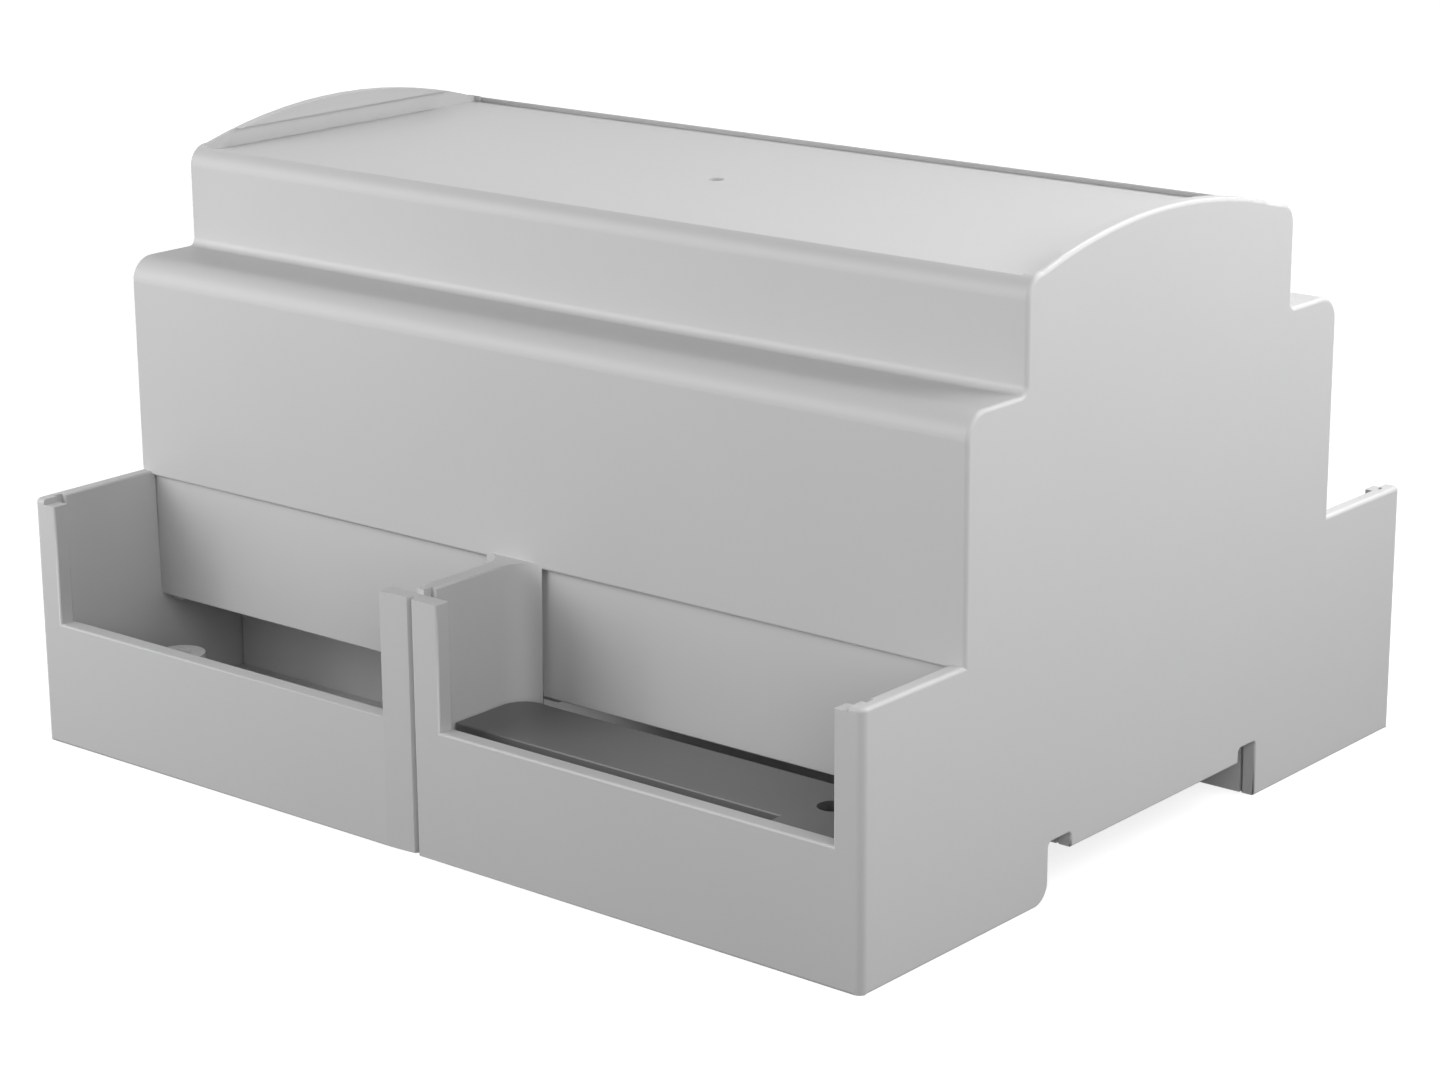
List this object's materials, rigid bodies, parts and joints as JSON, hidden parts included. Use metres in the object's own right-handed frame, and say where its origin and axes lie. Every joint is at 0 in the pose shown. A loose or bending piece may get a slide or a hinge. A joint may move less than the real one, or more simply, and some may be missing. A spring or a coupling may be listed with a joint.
{
  "type": "din rail enclosure",
  "caption": "Empty stepped plastic enclosure for circuit boards that clips onto a 35 mm mounting rail, with open terminal troughs, arched end walls and sliding rail latches.",
  "frame": {"origin": "midway along the length and the depth, on the plane that the feet stand on", "axes": "+X runs along the rail, -Y is the front side and +Z points away from the rail to the panel"},
  "size_m": [0.1062, 0.09, 0.0617],
  "materials": {
    "housing": "fine matt light grey moulded plastic",
    "base": "fine matt light grey moulded plastic",
    "partition": "fine matt light grey moulded plastic",
    "trough_floor": "fine matt mid grey moulded plastic",
    "rail_latch": "fine matt light grey moulded plastic"
  },
  "bodies": {
    "enclosure": {"housing": "housing", "base": "base", "partition_front_left": "partition", "partition_front_right": "partition", "partition_rear_left": "partition", "partition_rear_right": "partition", "trough_floor_front": "trough_floor", "trough_floor_rear": "trough_floor"},
    "latch_left": {"rail_latch_left": "rail_latch"},
    "latch_right": {"rail_latch_right": "rail_latch"}
  },
  "joints": [
    {"name": "latch_left_slide", "type": "slide", "parent": "enclosure", "child": "latch_left", "axis": [0, 1, 0], "range_m": [0, 0.004]},
    {"name": "latch_right_slide", "type": "slide", "parent": "enclosure", "child": "latch_right", "axis": [0, 1, 0], "range_m": [0, 0.004]}
  ]
}
